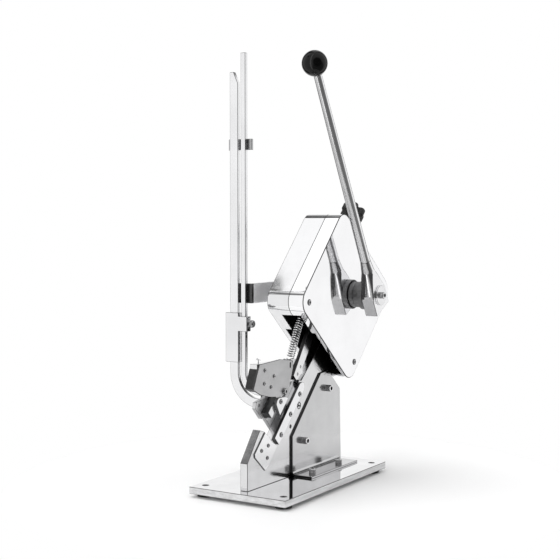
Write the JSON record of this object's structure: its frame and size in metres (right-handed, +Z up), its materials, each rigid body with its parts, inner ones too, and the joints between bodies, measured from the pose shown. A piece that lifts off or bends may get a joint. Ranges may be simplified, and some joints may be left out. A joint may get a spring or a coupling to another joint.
{
  "type": "hand lever bag clipping machine",
  "caption": "Bench machine that closes wire clips round a bag neck: hand lever, geared punch, slanting channel, die and vertical clip magazine.",
  "frame": {"origin": "centre of the four base holes, at the level the feet stand on", "axes": "+Z up, the operator stands on the -Y side, the lever is on the +X side"},
  "size_m": [0.166, 0.403, 0.634],
  "materials": {
    "polished_steel": "mirror-polished stainless steel",
    "satin_steel": "fine brushed stainless steel",
    "grey_steel": "matt blasted stainless steel",
    "dark_steel": "turned dark grey steel",
    "bright_steel": "bright plated fastener steel",
    "black_plastic": "glossy black phenolic",
    "black_nylon": "matt black nylon",
    "rubber": "matt black rubber"
  },
  "bodies": {
    "frame": {"base_plate": "polished_steel", "rubber_feet": "rubber", "bracket_right": "satin_steel", "bracket_left": "satin_steel", "foot_screws": "bright_steel", "leg_screws": "bright_steel", "jaw_plate": "satin_steel", "die": "dark_steel", "die_cover": "satin_steel", "die_cover_screws": "bright_steel", "guide_strip": "satin_steel", "guide_strip_screws": "bright_steel", "guide_back": "grey_steel", "guide_front": "satin_steel", "clip_cover": "polished_steel", "clip_cover_screw": "bright_steel", "clip_gate": "black_nylon", "clip_stop": "polished_steel", "rocker_pivot": "bright_steel", "rocker_spring": "bright_steel", "spring_hook": "bright_steel", "housing_right": "polished_steel", "housing_left": "polished_steel", "tie_tubes": "satin_steel", "housing_screws": "bright_steel", "bearing_boss": "dark_steel", "bearing_left": "dark_steel", "rack_guide": "satin_steel", "adjuster_nut": "dark_steel", "outer_rail": "polished_steel", "inner_rail": "polished_steel", "rail_plate": "dark_steel", "rail_arm": "satin_steel", "arm_standoffs": "satin_steel", "rail_clamp": "dark_steel", "rail_screws": "bright_steel"},
    "lever": {"lever_shaft": "satin_steel", "shaft_collar": "dark_steel", "pinion": "dark_steel", "lever_block": "satin_steel", "lever_rod": "satin_steel", "lever_knob": "black_plastic", "lever_washer": "polished_steel", "lever_screw": "bright_steel"},
    "driver": {"rack": "dark_steel", "driver_bar": "polished_steel", "driver_screws": "bright_steel", "punch": "satin_steel", "punch_pin": "bright_steel"},
    "rocker": {"rocker_plate": "grey_steel", "rocker_block": "satin_steel", "rocker_pad": "black_nylon", "pad_pin": "bright_steel", "rocker_screws": "bright_steel", "spring_post": "bright_steel"},
    "adjuster": {"adjuster_knob": "black_plastic", "adjuster_stud": "bright_steel"},
    "follower": {"clip_follower": "polished_steel"},
    "thumbscrew": {"follower_screw": "bright_steel"}
  },
  "joints": [
    {"name": "lever_pivot", "type": "hinge", "parent": "frame", "child": "lever", "pos_m": [0, 0.1491, 0.2745], "axis": [1, 0, 0], "range_deg": [0, 92]},
    {"name": "driver_slide", "type": "slide", "parent": "frame", "child": "driver", "axis": [0, -0.7071, -0.7071], "range_m": [0, 0.05801]},
    {"name": "rocker_pivot_turn", "type": "hinge", "parent": "frame", "child": "rocker", "pos_m": [0.0105, -0.0415, 0.144], "axis": [1, 0, 0], "range_deg": [0, 6], "stiffness_Nm_per_rad": 1.5, "springref_deg": -17.19, "deforming": ["rocker_spring"]},
    {"name": "adjuster_turn", "type": "hinge", "parent": "frame", "child": "adjuster", "pos_m": [0.02, 0.12506, 0.37774], "axis": [0, 0.7071, 0.7071], "continuous": true},
    {"name": "follower_slide", "type": "slide", "parent": "frame", "child": "follower", "axis": [0, 0, 1], "range_m": [0, 0.34]},
    {"name": "thumbscrew_turn", "type": "hinge", "parent": "follower", "child": "thumbscrew", "pos_m": [-0.05, -0.042, 0.239], "axis": [1, 0, 0], "range_deg": [-360, 0]}
  ],
  "couplings": [
    {"joint": "driver_slide", "follows": "lever_pivot", "m_per_rad": 0.036}
  ]
}
